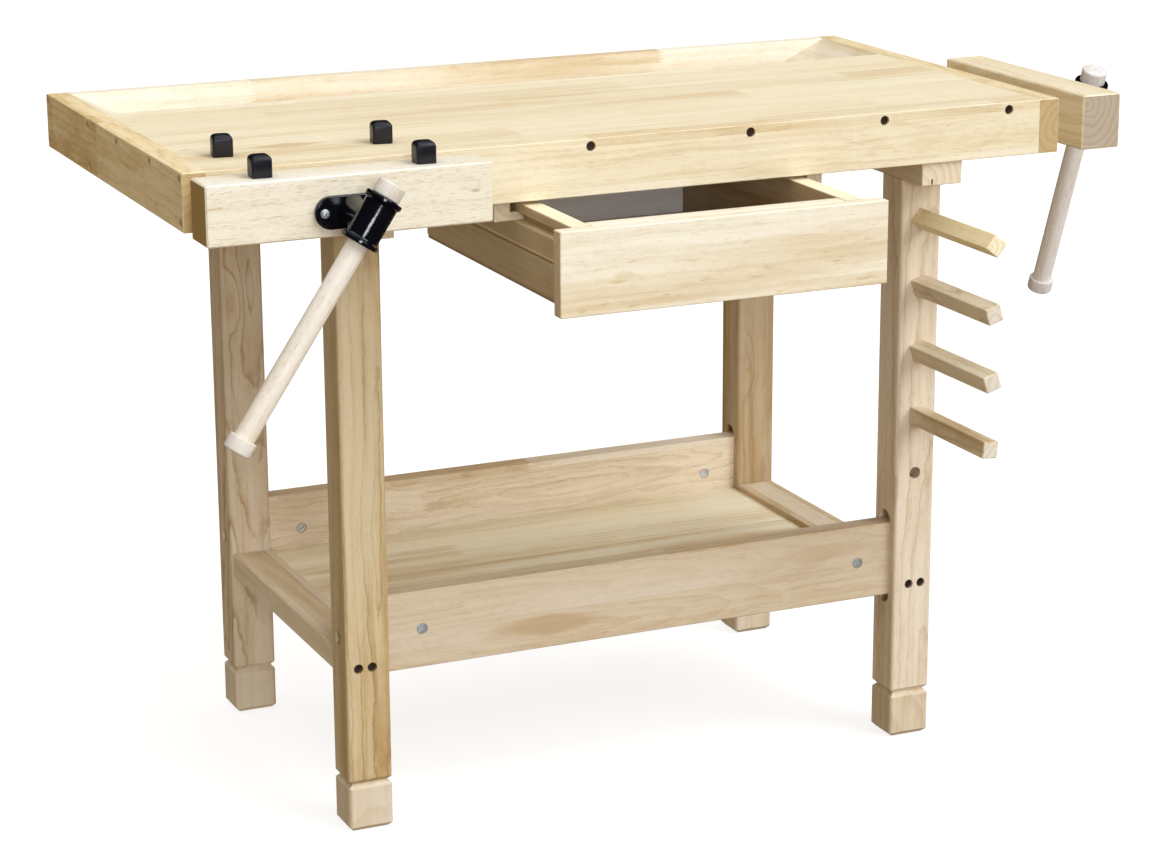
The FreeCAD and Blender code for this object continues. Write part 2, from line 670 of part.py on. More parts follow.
def make_vise(name, opening, wall, lean, turn, place, with_dogs):
    """Wooden jaw on a screw and two guide rods, with its nut plate inside the bench.

    The vise is made with its jaw along X, facing the front, about the screw's axis.
    It is then turned and moved to its place.
    """
    made = {}
    jaw_face = -opening
    jaw_front = jaw_face - jaw_thickness
    jaw_x = around(0, jaw_length)
    jaw_z = (vise_axis_drop - jaw_height, vise_axis_drop)
    jaw = board(jaw_x, (jaw_front, jaw_face), jaw_z, jaw_arris)
    rod_places = around(0, guide_rod_spacing)
    seat = jaw_face - guide_rod_seat
    rods = [rod(Vector(x, seat, 0), back, guide_rod_reach - seat, guide_rod_diameter) for x in rod_places]
    seats = [
        rod(Vector(x, seat, 0), back, guide_rod_seat + overrun, guide_rod_diameter + 2 * seat_clearance)
        for x in rod_places
    ]
    flange_seat = thrust_flange_thickness + 2 * slide_clearance
    flange_hole = thrust_flange_diameter + 2 * slide_clearance
    screw_hole_diameter = vise_screw_diameter + 2 * wall_clearance
    screw_way = rod(Vector(0, jaw_front, 0), back, jaw_thickness + overrun, screw_hole_diameter)
    flange_way = rod(Vector(0, jaw_front - overrun, 0), back, flange_seat + overrun, flange_hole)
    jaw = jaw.cut(seats + [screw_way, flange_way])
    collar = collar_plate(jaw_front)
    spigot_hole = spigot_diameter + 2 * running_clearance
    collar_start = Vector(0, jaw_front - collar_thickness - overrun, 0)
    collar = collar.cut(rod(collar_start, back, collar_thickness + 2 * overrun, spigot_hole))
    collar_screws = []
    for x in around(0, collar_screw_spacing):
        start = Vector(x, jaw_front - collar_thickness, 0)
        shank = rod(start, back, collar_screw_length, collar_screw_diameter)
        pan = turned([
            (0, 0),
            (collar_screw_head_diameter / 2, 0),
            (collar_screw_head_diameter / 2, arris),
            (collar_screw_head_diameter * pan_crown_share / 2, collar_screw_head_height),
            (0, collar_screw_head_height),
        ])
        pan.Placement = FreeCAD.Placement(start, FreeCAD.Rotation(up, -back))
        collar_screws.append(pan.fuse(shank))
        way = rod(start, back, collar_screw_length + seat_clearance, collar_screw_diameter + 2 * seat_clearance)
        jaw = jaw.cut(way)
        collar = collar.cut(way)
    flange_start = jaw_front + slide_clearance
    hub_y = jaw_front - hub_standoff
    spigot_end = jaw_front - collar_thickness - slide_clearance - hub_socket_depth + seat_clearance
    screw_bar = rod(Vector(0, spigot_end, 0), back, flange_start - spigot_end, spigot_diameter)
    flange = rod(Vector(0, flange_start, 0), back, thrust_flange_thickness, thrust_flange_diameter)
    thread_start = flange_start + thrust_flange_thickness
    thread = rod(Vector(0, thread_start, 0), back, vise_screw_reach - thread_start, vise_screw_diameter)
    hub = vise_hub(lean)
    shaft, caps = vise_handle(lean)
    for shape in (hub, shaft, caps):
        shape.translate(back * hub_y)
    made["jaw"] = jaw
    made["collar"] = collar
    made["collar_screws"] = Part.makeCompound(collar_screws)
    made["guide_rods"] = Part.makeCompound(rods)
    made["screw"] = screw_bar.fuse([flange, thread])
    made["hub"] = hub
    made["handle"] = shaft
    made["handle_caps"] = caps
    made["nut_plate"] = nut_plate(wall)
    way_start = -back * overrun
    way_length = wall + 2 * overrun
    rod_way_diameter = guide_rod_diameter + 2 * wall_clearance
    ways = [rod(way_start + right * x, back, way_length, rod_way_diameter) for x in rod_places]
    ways.append(rod(way_start, back, way_length, screw_hole_diameter))
    if with_dogs:
        dog_y = (jaw_front + jaw_face) / 2
        dogs = [(Vector(x, dog_y, vise_axis_drop), jaw_dog_turn_degrees) for x in around(0, dog_spacing)]
        for x in around(0, dog_spacing):
            dogs.append((Vector(x, dog_row_setback, vise_axis_drop), bench_dog_turn_degrees))
        for number, (at, twist) in enumerate(dogs, 1):
            made_name = "bench_dog_%d" % number
            pieces[made_name] = moved(bench_dog(at, twist), turn, place)
            way = rod(at - up * jaw_height, up, jaw_height + overrun, dog_stem_diameter + 2 * running_clearance)
            made["jaw"] = made["jaw"].cut(way)
            ways.append(way)
    for piece, shape in made.items():
        pieces["%s_%s" % (name, piece)] = moved(shape, turn, place)
    return [moved(way, turn, place) for way in ways]


def moved(shape, turn, place):
    """Copy of a shape turned about the upright axis and then moved."""
    copy = shape.copy()
    copy.rotate(origin, up, turn)
    copy.translate(place)
    return copy


def nut_plate(wall):
    """Cast plate on the inner side of a bench wall, with the nut's boss and two guide sleeves."""
    half = min(vise_axis_drop - panel_thickness, edge_height - vise_axis_drop) - slide_clearance
    sleeve_diameter = guide_rod_diameter + 2 * sleeve_wall
    plate_x = around(0, guide_rod_spacing + 2 * half)
    plate = board(plate_x, (wall, wall + nut_plate_thickness), (-half, half))
    reach = nut_plate_thickness + nut_boss_length
    start = back * wall
    plate = plate.fuse(rod(start, back, reach, 2 * half))
    for x in around(0, guide_rod_spacing):
        sleeve_start = start + right * x
        plate = plate.fuse(rod(sleeve_start, back, reach, sleeve_diameter))
        bore_diameter = guide_rod_diameter + 2 * running_clearance
        plate = plate.cut(rod(sleeve_start, back, reach + overrun, bore_diameter))
    plate = plate.cut(rod(start, back, reach + overrun, vise_screw_diameter + 2 * running_clearance))
    return plate


def bench_dog(at, twist):
    """Square-headed stop with a round stem that drops into a hole, twisted a little in it."""
    head = block(around(at.x, dog_side), around(at.y, dog_side), (at.z, at.z + dog_head_height))
    rounded = [edge for edge in head.Edges if max(v.Z for v in edge.Vertexes) > at.z + arris]
    head = head.makeFillet(dog_round, rounded)
    head.rotate(at, up, twist)
    return head.fuse(rod(at - up * dog_stem_length, up, dog_stem_length, dog_stem_diameter))


def drill(names, cutters):
    """Cut holes into each named piece that they reach."""
    for name in names:
        shape = pieces[name]
        near = [cutter for cutter in cutters if shape.BoundBox.intersect(cutter.BoundBox)]
        if near:
            pieces[name] = shape.cut(near)


def whole_box():
    """Tight box round every piece."""
    box = FreeCAD.BoundBox()
    for shape in pieces.values():
        box.add(shape.optimalBoundingBox(False, False))
    return box


make_top()
make_runners()
make_top_screws()
make_underframe()
make_pegs()
make_drawer()

front_vise_place = Vector(front_jaw_inset + jaw_length / 2, 0, vise_axis_height)
tail_vise_place = Vector(top_length, tail_jaw_inset + jaw_length / 2, vise_axis_height)
front_ways = make_vise(
    "front", front_jaw_opening, apron_thickness, front_handle_lean_degrees, 0, front_vise_place, True)
tail_ways = make_vise(
    "tail", tail_jaw_opening, end_cap_thickness, tail_handle_lean_degrees, quarter_turn_degrees, tail_vise_place,
    False)

top_boards = ["front_apron", "worktop_panel", "left_end_cap", "right_end_cap", "tray_wall", "back_board"]
frame_boards = ["bearer_left", "bearer_right", "side_rail_left", "side_rail_right", "front_stretcher"]
frame_boards += ["back_stretcher", "drawer_runner_left", "drawer_runner_right"]
legs = ["%s_%s_leg" % (end, side) for end in ("front", "back") for side in ("left", "right")]
drill(top_boards + frame_boards + legs, holes)
drill(["front_apron", "worktop_panel"], front_ways)
drill(["right_end_cap"], tail_ways)

whole = whole_box()
to_origin = Vector(-whole.Center.x, -whole.Center.y, -whole.ZMin)

os.makedirs("parts", exist_ok=True)
for piece_name, piece_shape in pieces.items():
    solids = piece_shape.Solids
    placed = solids[0].copy() if len(solids) == 1 else Part.makeCompound(solids)
    placed.translate(to_origin)
    placed.exportStep("parts/%s.step" % piece_name)
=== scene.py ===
"""Looks of a children's workbench over its packed frame: wood, black castings, steel, stage and camera."""

import json
import math

import bmesh
import bpy
from bpy.props import FloatProperty, FloatVectorProperty, IntProperty, PointerProperty
from mathutils import Matrix, Vector


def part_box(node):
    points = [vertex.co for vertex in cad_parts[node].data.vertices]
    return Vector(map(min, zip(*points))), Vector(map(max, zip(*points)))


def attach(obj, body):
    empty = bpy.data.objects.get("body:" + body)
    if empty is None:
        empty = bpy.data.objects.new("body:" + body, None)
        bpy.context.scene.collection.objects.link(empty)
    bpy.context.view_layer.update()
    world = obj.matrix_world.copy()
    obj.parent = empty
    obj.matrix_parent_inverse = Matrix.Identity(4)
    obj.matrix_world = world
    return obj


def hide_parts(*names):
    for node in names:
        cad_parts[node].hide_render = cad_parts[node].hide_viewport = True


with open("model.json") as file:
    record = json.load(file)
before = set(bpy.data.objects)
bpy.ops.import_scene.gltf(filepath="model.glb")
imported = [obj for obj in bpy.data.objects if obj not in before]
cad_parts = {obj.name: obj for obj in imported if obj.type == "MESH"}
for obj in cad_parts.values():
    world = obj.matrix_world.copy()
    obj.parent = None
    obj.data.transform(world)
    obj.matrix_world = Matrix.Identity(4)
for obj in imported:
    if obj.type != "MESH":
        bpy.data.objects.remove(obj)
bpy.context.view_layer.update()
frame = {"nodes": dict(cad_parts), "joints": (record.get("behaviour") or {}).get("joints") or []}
NODES = frame["nodes"]
JOINTS = {joint["name"]: joint for joint in frame["joints"]}
X, Y, Z = range(3)
STAGGER = 0.618  # share of a stave's length by which the joints of the next row are shifted

bl_info = {
    "name": "Children's Workbench",
    "version": (1, 0, 0),
    "blender": (4, 5, 0),
    "location": "View3D > Sidebar > Workbench",
    "description": "Dresses a children's workbench in wood, black castings and steel",
    "category": "Object",
}


def tone(label, words, default):
    """Colour property of one finish."""
    return FloatVectorProperty(
        name=label, description=words, subtype="COLOR", size=3, min=0, max=1, default=default)


def length(label, words, default):
    """Length property in metres."""
    return FloatProperty(
        name=label, description=words, unit="LENGTH", subtype="DISTANCE", min=0, default=default)


def angle_of(label, words, default):
    """Angle property in radians."""
    return FloatProperty(name=label, description=words, subtype="ANGLE", default=default)


def strength(label, words, default):
    """Brightness property of a light."""
    return FloatProperty(name=label, description=words, min=0, default=default)


def way(label, words, default):
    """Direction property."""
    return FloatVectorProperty(name=label, description=words, size=3, subtype="DIRECTION", default=default)


class WoodSettings(bpy.types.PropertyGroup):
    """Colours and figure of the bench's wood"""

    top: tone("Top", "Boards of the top, the jaws and the drawer front", (0.84, 0.74, 0.535))
    end: tone("End caps", "Boards across both ends of the top", (0.8, 0.655, 0.4))
    tray: tone("Tray", "Floor and ramps of the tool tray", (0.84, 0.775, 0.635))
    leg: tone("Legs", "The four legs", (0.66, 0.52, 0.335))
    foot: tone("Feet", "Block feet", (0.67, 0.565, 0.42))
    bearer: tone("Bearers", "Bearers and side rails", (0.76, 0.65, 0.48))
    stretcher: tone("Stretchers", "Long rails between the legs", (0.69, 0.565, 0.405))
    shelf: tone("Shelf", "Low shelf", (0.93, 0.85, 0.64))
    peg: tone("Pegs", "Tool pegs", (0.76, 0.65, 0.47))
    drawer: tone("Drawer box", "Sides of the drawer and its runners", (0.59, 0.48, 0.315))
    # Near white: the drawer back is painted pale, as painted light inside the drawer where it stands in
    # shade.
    drawer_back: tone("Drawer back", "Back of the drawer", (0.94, 0.90, 0.85))
    drawer_bottom: tone("Drawer bottom", "Board under the drawer", (0.62, 0.53, 0.44))
    handle: tone("Handles", "Turned handles and their caps", (0.86, 0.8, 0.72))
    heart: tone("Heartwood", "Tint of the darker staves and streaks", (0.74, 0.62, 0.46))
    sap: FloatVectorProperty(
        name="Sapwood", description="Lift of the paler staves and bands", size=3, min=1, max=2,
        default=(1.05, 1.09, 1.20))
    pore: tone("Pores", "Tint of the open pores and specks", (0.60, 0.46, 0.32))
    stave_width: length("Stave width", "Width of one glued stave", 0.052)
    stave_length: length("Stave length", "Distance between two finger joints", 0.41)
    finger_pitch: length("Finger pitch", "Distance between two fingers of a joint", 0.0038)
    finger_length: length("Finger length", "Length of a finger", 0.009)


class MetalSettings(bpy.types.PropertyGroup):
    """Colours and sizes of the vises' metal and of the dogs"""

    paint: tone("Black paint", "Paint on the cast hubs and collars", (0.003, 0.003, 0.004))
    dog: tone("Dogs", "Matt black of the bench dogs", (0.009, 0.008, 0.012))
    steel: tone("Steel", "Guide rods and vise screws", (0.60, 0.60, 0.61))
    zinc: tone("Zinc", "Plated screws, bolts and nuts", (0.74, 0.75, 0.79))
    bolt: tone("Bolts", "Bolts through the legs", (0.34, 0.33, 0.32))
    dark: tone("Dark screws", "Browned screws sunk in the boards", (0.13, 0.085, 0.065))
    thread_pitch: length("Thread pitch", "Rise of the vise screw in one turn", 0.005)
    thread_depth: length("Thread depth", "Depth of the vise screw's thread", 0.0019)
    hub_flange: length("Hub flange", "Radius of the hub's end flanges", 0.01875)
    hub_body: length("Hub body", "Radius of the hub between its flanges", 0.0163)
    hub_bore: length("Hub bore", "Radius of the handle's way through the hub", 0.01065)
    neck: length("Hub neck", "Radius of the neck between hub and collar", 0.013)
    dog_stem: length("Dog stem", "Radius of the stem of a bench dog", 0.0075)
    dog_half: length("Dog half width", "Half the width of a bench dog's head", 0.010)
    dog_crown: length("Dog crown", "Height of the rounded top of a bench dog", 0.0060)
    jaw_dog_turn: angle_of("Jaw dog turn", "Twist of the dogs in the jaw", math.radians(-4))
    bench_dog_turn: angle_of("Bench dog turn", "Twist of the dogs in the top", math.radians(-9))
    cap_length: length("Cap length", "Length of a handle's end cap", 0.016)
    slot_width: length("Slot width", "Width of a driver slot", 0.0017)
    slot_depth: length("Slot depth", "Depth of a driver slot", 0.0016)
    turns: IntProperty(
        name="Round steps", description="Steps round a turned piece", min=16, max=256, default=72)


class StageSettings(bpy.types.PropertyGroup):
    """Camera, floor and lights"""

    camera_place: FloatVectorProperty(
        name="Camera", description="Camera from the floor under the top's front left corner", size=3,
        subtype="TRANSLATION", unit="LENGTH", default=(-0.8161, -2.7588, 1.2715))
    yaw: angle_of("Yaw", "Turn to the right of the bench's depth", 0.4188)
    pitch: angle_of("Pitch", "Tilt above the horizon", -0.2767)
    roll: angle_of("Roll", "Lean of the picture", -0.0055)
    lens: FloatProperty(name="Lens", description="Focal length", unit="CAMERA", min=1, default=95.03)
    floor: tone("Floor", "Pale studio floor", (0.30, 0.30, 0.30))
    floor_glow: strength("Floor glow", "Light of the floor's own, as of a light table", 0.80)
    sky: tone("Surround", "Light from all round", (1.0, 0.83, 0.585))
    fill: strength("Surround strength", "Strength of the light from all round", 0.40)
    key_from: way("Key direction", "Where the main light comes from", (0.50, -0.62, 0.62))
    lamp: tone("Lamp", "Colour of the lights", (0.88, 0.94, 1.0))
    key: strength("Key strength", "Strength of the main light", 2.3)
    key_size: FloatProperty(
        name="Key size", description="Width of the main light as seen from the bench",
        subtype="ANGLE", min=0, default=0.7)
    front_from: way("Front direction", "Where the front light comes from", (-0.19, -0.963, 0.186))
    front: strength("Front strength", "Strength of the front light", 1.0)
    front_size: FloatProperty(
        name="Front size", description="Width of the front light as seen from the bench",
        subtype="ANGLE", min=0, default=0.26)
    top: strength("Top strength", "Strength of the overhead light", 1.6)


class Wire:
    """A shader socket that takes part in Python sums, each of which adds its Math node."""

    def __init__(self, finish, socket):
        self.finish = finish
        self.socket = socket

    def sum(self, operation, *values, clamp=False):
        """Result of one Math node."""
        settings = {"operation": operation, "use_clamp": clamp}
        return self.finish.node("ShaderNodeMath", settings, dict(enumerate(values)))

    def __add__(self, other):
        return self.sum("ADD", self, other)

    def __sub__(self, other):
        return self.sum("SUBTRACT", self, other)

    def __rsub__(self, other):
        return self.sum("SUBTRACT", other, self)

    def __mul__(self, other):
        return self.sum("MULTIPLY", self, other)

    def __truediv__(self, other):
        return self.sum("DIVIDE", self, other)

    def __pow__(self, other):
        return self.sum("POWER", self, other)

    def __abs__(self):
        return self.sum("ABSOLUTE", self)

    __radd__ = __add__
    __rmul__ = __mul__

    def floor(self):
        """Whole part."""
        return self.sum("FLOOR", self)

    def fraction(self):
        """Part after the point."""
        return self.sum("FRACT", self)

    def zigzag(self, top):
        """Up and down between nought and a top value."""
        return self.sum("PINGPONG", self, top)

    def limited(self):
        """Held between nought and one."""
        return self.sum("ADD", self, 0.0, clamp=True)

    def step(self, low, high):
        """Smooth step from nought at low to one at high."""
        settings = {"interpolation_type": "SMOOTHSTEP"}
        sockets = {"Value": self, "From Min": low, "From Max": high}
        return self.finish.node("ShaderNodeMapRange", settings, sockets)


class Finish:
    """A material under construction."""

    def __init__(self, name):
        self.material = bpy.data.materials.new(name)
        self.material.use_nodes = True
        self.tree = self.material.node_tree
        self.shader = self.tree.nodes["Principled BSDF"]

    def node(self, kind, settings=None, sockets=None, out=0):
        """Add a node, set it up, fill or link its sockets, and give back one output."""
        made = self.tree.nodes.new(kind)
        for key, value in (settings or {}).items():
            setattr(made, key, value)
        for key, value in (sockets or {}).items():
            self.feed(made.inputs[key], value)
        return Wire(self, made.outputs[out])

    def feed(self, socket, value):
        """Link a wire to a socket, or set the socket's value."""
        if isinstance(value, Wire):
            self.tree.links.new(value.socket, socket)
        else:
            socket.default_value = value

    def set(self, **values):
        """Feed the shader's own sockets, named with underscores for spaces."""
        for key, value in values.items():
            self.feed(self.shader.inputs[key.replace("_", " ")], value)

    def place(self, out="Object"):
        """Place or facing on the piece, in metres from the frame's origin."""
        return self.node("ShaderNodeTexCoord", out=out)

    def split(self, vector):
        """The three parts of a vector."""
        return [self.node("ShaderNodeSeparateXYZ", None, {0: vector}, out) for out in (X, Y, Z)]

    def join(self, x, y, z):
        """A vector from three parts."""
        return self.node("ShaderNodeCombineXYZ", None, {X: x, Y: y, Z: z})

    def noise(self, vector, scale=1.0, detail=2.0, roughness=0.5, warp=0.0):
        """Smooth noise from nought to one."""
        return self.node("ShaderNodeTexNoise", None, {
            "Vector": vector, "Scale": scale, "Detail": detail, "Roughness": roughness, "Distortion": warp})

    def chance(self, vector, out="Value"):
        """One random value or colour for each whole place."""
        return self.node("ShaderNodeTexWhiteNoise", {"noise_dimensions": "3D"}, {"Vector": vector}, out)

    def blend(self, share, first, second, how="MIX"):
        """Mix of two colours."""
        colours = [value if isinstance(value, Wire) else (*value, 1.0) for value in (first, second)]
        settings = {"data_type": "RGBA", "blend_type": how, "clamp_factor": True}
        return self.node("ShaderNodeMix", settings, {0: share, 6: colours[0], 7: colours[1]}, 2)

    def bump(self, height, strength, depth):
        """Normal from a height."""
        return self.node("ShaderNodeBump", None, {"Height": height, "Strength": strength, "Distance": depth})


def scaled(colour, factor):
    """Colour times a number or another colour."""
    factors = factor if hasattr(factor, "__len__") else (factor,) * 3
    return tuple(part * share for part, share in zip(colour, factors))


def wood(node, colour, along, across, seed, **look):
    """Dress a board in glued staves, with its grain along one axis and its staves side by side on another."""
    woods = bpy.context.scene.workbench_wood
    low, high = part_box(node)
    middle = (low + high) / 2
    width = look.get("width", 1.0)
    edge = look.get("edge", -width / 2)
    run = look.get("run", 3.0)
    figure = look.get("figure", 1.0)
    finish = Finish(node + "_wood")
    spot = finish.place()
    if "turn" in look:
        axis, angle, centre = look["turn"]
        spot = finish.node("ShaderNodeVectorRotate", {"rotation_type": axis},
                           {"Vector": spot, "Center": centre, "Angle": angle})
        middle = centre
    parts = finish.split(spot)
    third = 3 - along - across
    u, v, w = [parts[axis] - middle[axis] for axis in (along, across, third)]

    stave = (v - edge) / width
    row = stave.floor()
    finger = (v / woods.finger_pitch).zigzag(0.5) * (2 * woods.finger_length)
    reach = (u - look.get("joint", run / 2) + finger) / run + row * STAGGER
    cell = reach.floor()
    lot = finish.join(row + seed, cell + 3.7, seed * 1.3)
    luck, luck_across, luck_tilt = finish.split(finish.chance(lot, "Color"))
    tone_luck = finish.chance(lot)

    sway = finish.noise(finish.join(u * 3.4 + luck * 40.0, v * 7.0, w * 7.0), 1.0, 3.0) - 0.5
    side = v + sway * 0.018
    depth = w + sway * 0.014

    def grain(along_scale, across_scale, shift, detail, roughness=0.5, drift=None):
        """Noise drawn out along the grain, its place shifted by each stave's luck."""
        across_now = side * across_scale
        if drift is not None:
            across_now = across_now + luck * drift
        spots_now = finish.join(u * along_scale + luck * shift, across_now, depth * across_scale)
        return finish.noise(spots_now, 1.0, detail, roughness)

    streak = grain(3.0, 140.0, 70.0, 4.0, 0.6, 31.0)
    band = grain(1.8, 23.0, 23.0, 3.0, 0.5, 11.0)
    fibre = grain(105.0, 1400.0, 9.0, 2.0, 0.55)
    pores = fibre.step(0.54, 0.72) * (streak.step(0.30, 0.60) * 0.7 + 0.3)
    fleck = grain(38.0, 170.0, 5.0, 2.0).step(0.60, 0.76)
    mottle = grain(26.0, 60.0, 3.0, 4.0, 0.6)

    scatter = finish.join(u * 7.0 + seed, v * 21.0, w * 21.0)
    spots, chosen = [
        finish.node("ShaderNodeTexVoronoi", {"feature": "F1"}, {"Vector": scatter, "Scale": 1.0}, out)
        for out in ("Distance", "Color")]
    picked = finish.split(chosen)[X].step(0.78, 0.82)
    speck = (1 - spots.step(0.02, 0.055)) * picked
    swirl = (1 - spots.step(0.0, 0.40)) * picked

    off_core = side - (row + 0.5) * width - edge + (luck_across - 0.5) * 0.06
    in_core = depth + (luck - 0.5) * 0.05 + u * ((luck_tilt - 0.5) * 0.26) + 0.012
    wobble = band * 0.012 + (mottle - 0.5) * look.get("wobble", 0.003) + swirl * look.get("swirl", 0.008)
    ring = ((off_core * off_core + in_core * in_core) ** 0.5 + wobble) / look.get("ring", 0.0075)
    line = (ring.fraction() ** look.get("sharp", 2.0)) * (1 - ring.fraction().step(0.90, 1.0))
    flame = band.step(0.46, 0.62) * tone_luck.step(0.40, 0.80)

    dark = streak.step(0.38, 0.74) * 0.42 + line * (0.40 * look.get("rings", 1.0)) + flame * 0.40
    dark = dark + tone_luck.step(0.55, 0.95) * look.get("patch", 0.30)
    dark = dark + fleck * (0.30 * look.get("flecks", 1.0)) + (mottle - 0.5) * look.get("mottle", 0.5)
    colour_now = finish.blend(dark * figure, colour, scaled(colour, woods.heart))
    pale = (1 - band.step(0.36, 0.52)) * 0.55 + (1 - tone_luck.step(0.1, 0.4)) * 0.35
    colour_now = finish.blend(pale * figure, colour_now, scaled(colour, woods.sap))
    colour_now = finish.blend(pores * (0.42 * look.get("pores", 1.0)), colour_now, scaled(colour, woods.pore))

    vein = ring.fraction().step(0.76, 0.92) * (1 - ring.fraction().step(0.93, 1.0)) * band.step(0.30, 0.60)
    vein_colour = scaled(colour, scaled(woods.pore, 0.85))
    colour_now = finish.blend(vein * look.get("veins", 0.0), colour_now, vein_colour)
    for place, size, strength in look.get("patches", ()):
        far = abs(u - place[0] + sway * 0.03) / size[0] + ((side - place[1]) / size[1]) ** 2.0
        shape = (1 - far.step(0.40, 1.05)) * strength
        colour_now = finish.blend(shape, colour_now, scaled(colour, woods.heart))
    # Painted highlight: thin pale lines at the given heights on the outward face stand for ledges and edges
    # that catch the light.
    for height in look.get("wear", ()):
        painted_highlight = (1 - abs(v - height).step(0.0008, 0.0016)) * (w * look["outward"]).step(0.0, 0.004)
        colour_now = finish.blend(painted_highlight * 0.8, colour_now, scaled(colour, (1.4, 1.46, 1.55)))
    speck_colour = scaled(colour, scaled(woods.pore, 0.7))
    colour_now = finish.blend(speck * look.get("specks", 0.75), colour_now, speck_colour)

    seam = (abs(stave.fraction() - 0.5) * width).step(0.5 * width - 0.0007, 0.5 * width - 0.0002)
    butt = (abs(reach.fraction() - 0.5) * run).step(0.5 * run - 0.0009, 0.5 * run - 0.0003)
    joints = (seam * 0.55 + butt * 0.8).limited() * look.get("seams", 0.3)
    colour_now = finish.blend(joints, colour_now, scaled(colour, woods.pore))

    # Painted light: faces that point up are lightened by the given tint, as if lit from above.
    if "top" in look:
        above = finish.split(finish.place("Normal"))[Z].step(0.80, 0.95)
        colour_now = finish.blend(above, colour_now, scaled(colour, look["top"]))
    if "turn" not in look:
        end = abs(finish.split(finish.place("Normal"))[along]).step(0.75, 0.92)
        rays = finish.noise(finish.join(v * 900.0, w * 900.0, u * 20.0), 1.0, 2.0)
        end_amount = (line * 0.55 + (rays - 0.5) * 0.7 + 0.25).limited()
        open_end = scaled(colour, look.get("end", (0.74, 0.68, 0.60)))
        end_colour = finish.blend(end_amount, open_end, scaled(open_end, woods.heart))
        colour_now = finish.blend(end, colour_now, end_colour)

    height = streak * 0.55 - pores * 0.8 - joints
    finish.set(Base_Color=colour_now, Roughness=streak * 0.16 + 0.44, Specular_IOR_Level=0.36,
               Normal=finish.bump(height, 0.32, 0.0006))
    dress(finish.material, node)
    return finish.material


def black_paint(name, colour):
    """Gloss black paint on a casting, a little uneven."""
    finish = Finish(name)
    spot = finish.place()
    orange = finish.noise(spot, 420.0, 2.0)
    broad = finish.noise(spot, 60.0, 2.0)
    shade = finish.blend(broad, colour, scaled(colour, (1.6, 1.7, 2.4)))
    finish.set(Base_Color=shade, Roughness=orange * 0.08 + 0.08, Specular_IOR_Level=0.42,
               Normal=finish.bump(orange + broad, 0.16, 0.0006))
    return finish.material


def matt_black(name, colour):
    """Matt black moulded plastic with worn, greyer edges and a fine texture."""
    finish = Finish(name)
    spot = finish.place()
    fine = finish.noise(spot, 1500.0, 2.0)
    rub = finish.noise(spot, 140.0, 4.0, 0.6).step(0.50, 0.74)
    shade = finish.blend(rub * 0.6, colour, scaled(colour, (2.6, 2.6, 2.8)))
    finish.set(Base_Color=shade, Roughness=fine * 0.14 + 0.30 + rub * 0.1, Specular_IOR_Level=0.35,
               Normal=finish.bump(fine, 0.25, 0.0003))
    return finish.material


def bright_metal(name, colour, along, rough, metallic=1.0):
    """Drawn or plated steel with fine lines along one axis."""
    finish = Finish(name)
    parts = finish.split(finish.place())
    stretched = [part * (25.0 if axis == along else 1600.0) for axis, part in enumerate(parts)]
    lines = finish.noise(finish.join(*stretched), 1.0, 3.0)
    cloud = finish.noise(finish.place(), 90.0, 3.0)
    shade = finish.blend(cloud, scaled(colour, 0.86), colour)
    finish.set(Base_Color=shade, Metallic=metallic, Roughness=lines * 0.16 + cloud * 0.1 + rough,
               Normal=finish.bump(lines, 0.12, 0.0002))
    return finish.material


def floor_finish(name, stage):
    """Plain pale studio floor that glows a little."""
    finish = Finish(name)
    cloud = finish.noise(finish.place(), 1.3, 3.0)
    finish.set(
        Base_Color=finish.blend(cloud, scaled(stage.floor, 0.985), stage.floor),
        Roughness=cloud * 0.1 + 0.75, Specular_IOR_Level=0.1,
        Emission_Color=(1.0, 1.0, 1.0, 1.0), Emission_Strength=stage.floor_glow)
    return finish.material


def dress(material, *names):
    """Give CAD nodes a material."""
    for name in names:
        slots = NODES[name].data.materials
        slots.clear()
        slots.append(material)


def add_piece(name, mesh, body, material, slot, *nodes, crease=35.0):
    """Make an object of a mesh, riding on a body and standing for CAD nodes."""
    built = bpy.data.meshes.new(name)
    bmesh.ops.recalc_face_normals(mesh, faces=mesh.faces)
    mesh.to_mesh(built)
    mesh.free()
    built.polygons.foreach_set("use_smooth", [True] * len(built.polygons))
    built.set_sharp_from_angle(angle=math.radians(crease))
    built.materials.append(material)
    piece = bpy.data.objects.new(name, built)
    bpy.context.scene.collection.objects.link(piece)
    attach(piece, body)
    if nodes:
        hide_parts(*nodes)
    return piece


def loft(mesh, rings, closed=False):
    """Skin rings of points. A ring of one point closes an end, and closed joins both ends of the skin."""
    rows = [[mesh.verts.new(point) for point in ring] for ring in rings]
    pairs = list(zip(rows, rows[1:]))
    if closed:
        pairs.append((rows[-1], rows[0]))
    for low, high in pairs:
        count = max(len(low), len(high))
        for step in range(count):
            ahead = (step + 1) % count
            corners = [low[step % len(low)], low[ahead % len(low)],
                       high[ahead % len(high)], high[step % len(high)]]
            distinct = list(dict.fromkeys(corners))
            if len(distinct) > 2:
                mesh.faces.new(distinct)


def circle(place, radius, height, steps):
    """Ring of points about the local Z axis, put in place."""
    if radius == 0:
        return [place @ Vector((0, 0, height))]
    angles = [math.tau * step / steps for step in range(steps)]
    return [place @ Vector((radius * math.cos(angle), radius * math.sin(angle), height)) for angle in angles]


def lathe(mesh, place, profile, steps, closed=False):
    """Turn a profile of radii and heights about the local Z axis."""
    loft(mesh, [circle(place, radius, height, steps) for radius, height in profile], closed)


